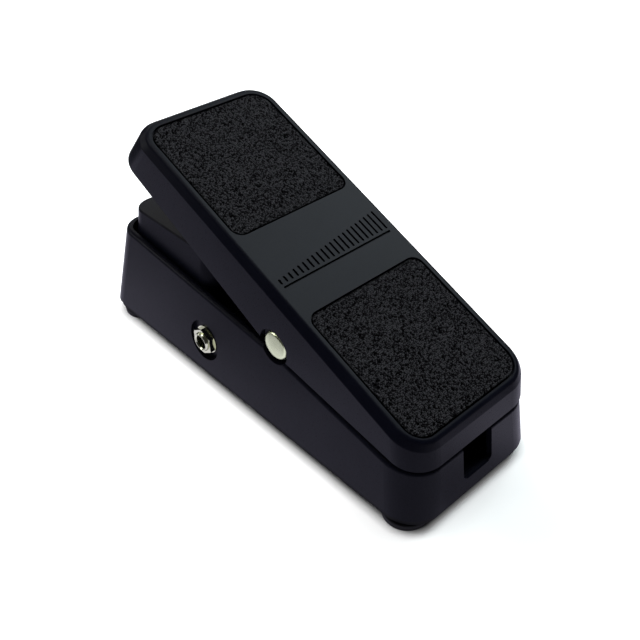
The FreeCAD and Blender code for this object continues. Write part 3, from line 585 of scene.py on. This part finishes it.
def rubber_foot(node, material):
    """A round foot: a screw recess, two tread grooves, a rounded tread edge and a rolled lip."""
    low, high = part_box(node)
    place = Matrix.Translation(((low.x + high.x) / 2, (low.y + high.y) / 2, 0))
    radius = (high.x - low.x) / 2
    height = high.z
    screw_hole = 1.55 * MM
    well = 4.0 * MM
    well_depth = 1.9 * MM
    lip = 1.1 * MM
    edge = 0.6 * MM
    well_round = 0.4 * MM
    groove_depth = 0.35 * MM
    groove_mouth = 0.4 * MM
    groove_floor = 0.25 * MM
    taper = 0.2 * MM
    profile = [(screw_hole, height), (screw_hole, well_depth), (well, well_depth)]
    profile += arc_points((well + well_round, well_round), well_round, 180, 270)
    for groove in (5.7 * MM, 7.3 * MM):
        profile += [(groove - groove_mouth, 0.0), (groove - groove_floor, groove_depth)]
        profile += [(groove + groove_floor, groove_depth), (groove + groove_mouth, 0.0)]
    profile += arc_points((radius - taper - edge, edge), edge, 270, 360)
    profile += arc_points((radius - lip, height - lip), lip, 0, 90)
    stand_for(turned(node + "_rubber", profile, place, material), node)


def rubber_stops(node, places, material):
    """Soft round buffers, domed at the rim, standing where their node's solids are."""
    low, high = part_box(node)
    radius = (high.y - low.y) / 2
    rim = 1.2 * MM
    dimple = 1.6 * MM
    dimple_depth = 0.6 * MM
    profile = [(0, low.z), (radius, low.z)]
    profile += arc_points((radius - rim, high.z - rim), rim, 0, 90)
    profile += [(dimple, high.z), (dimple / 2, high.z - 0.5 * MM), (0, high.z - dimple_depth)]
    for name, side in places:
        centre_x = low.x + radius if side < 0 else high.x - radius
        place = Matrix.Translation((centre_x, (low.y + high.y) / 2, 0))
        stand_for(turned(name, profile, place, material), node)


def pivot_cap(node, side, material):
    """A cap screw with a softly domed face and a well rounded edge, on its shank."""
    low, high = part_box(node)
    radius = (high.z - low.z) / 2
    face = max(abs(low.x), abs(high.x))
    root = min(abs(low.x), abs(high.x))
    shank = 2.0 * MM
    head = face - CAP_HEAD
    dome = 0.35 * MM
    rim = 1.8 * MM
    flat = radius - rim
    profile = [(0, root), (shank, root), (shank, head), (radius, head)]
    profile += arc_points((flat, face - dome - rim), rim, 0, CAP_ROUND_END)
    profile += [(flat * share, face - dome * share * share) for share in DOME_SHARES]
    profile.append((0, face))
    centre = (0, (low.y + high.y) / 2, (low.z + high.z) / 2)
    place = Matrix.Translation(centre) @ Matrix.Rotation(side * math.pi / 2, 4, "Y")
    piece = turned(node + "_dome", profile, place, material)
    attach(piece, "treadle")
    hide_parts(node)


def jack_bushing(node, material):
    """The jack's threaded tube: real thread crests, a lead-in and a countersunk mouth."""
    low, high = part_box(node)
    radius = (high.z - low.z) / 2
    bore = 3.2 * MM
    mouth = 0.5 * MM
    pitch = 0.79 * MM
    depth = 0.3 * MM
    end = -low.x
    root = -high.x
    lead_in = 0.3 * MM
    lead_in_drop = 0.2 * MM
    first_crest = 0.4 * MM
    plain = 1.0 * MM
    valley = radius - depth
    profile = [(bore, root), (valley, root)]
    for crest in range(int((end - root - plain) / pitch)):
        start = root + first_crest + crest * pitch
        profile += [(valley, start), (radius, start + pitch * 0.4), (radius, start + pitch * 0.6)]
    profile += [(valley, end - lead_in), (valley - lead_in_drop, end)]
    profile += [(bore + mouth, end), (bore, end - mouth)]
    centre = (0, (low.y + high.y) / 2, (low.z + high.z) / 2)
    place = Matrix.Translation(centre) @ Matrix.Rotation(-math.pi / 2, 4, "Y")
    stand_for(turned("jack_bushing_thread", profile, place, material), node)


# ---- the scene ----------------------------------------------------------------------------
bpy.context.scene.view_settings.view_transform = "Standard"
add_camera()
add_floor()
add_backdrop()
add_lights()
materials = make_materials()
dress_nodes(materials)
grip_pad("toe_grip_pad", TOE_PAD, PAD_INNER_CORNER, PAD_OUTER_CORNER, materials["grip_rubber"])
grip_pad("heel_grip_pad", HEEL_PAD, PAD_OUTER_CORNER, PAD_INNER_CORNER, materials["grip_rubber"])

for corner in ("heel_left", "heel_right", "toe_left", "toe_right"):
    rubber_foot("rubber_foot_" + corner, materials["foot_rubber"])
for end in ("toe", "heel"):
    sides = ((end + "_stop_left", -1), (end + "_stop_right", 1))
    rubber_stops(end + "_stops", sides, materials["stop_rubber"])

pivot_cap("pivot_cap_left", -1, materials["cap_nickel"])
pivot_cap("pivot_cap_right", 1, materials["cap_nickel"])
jack_bushing("jack_bushing", materials["nickel"])
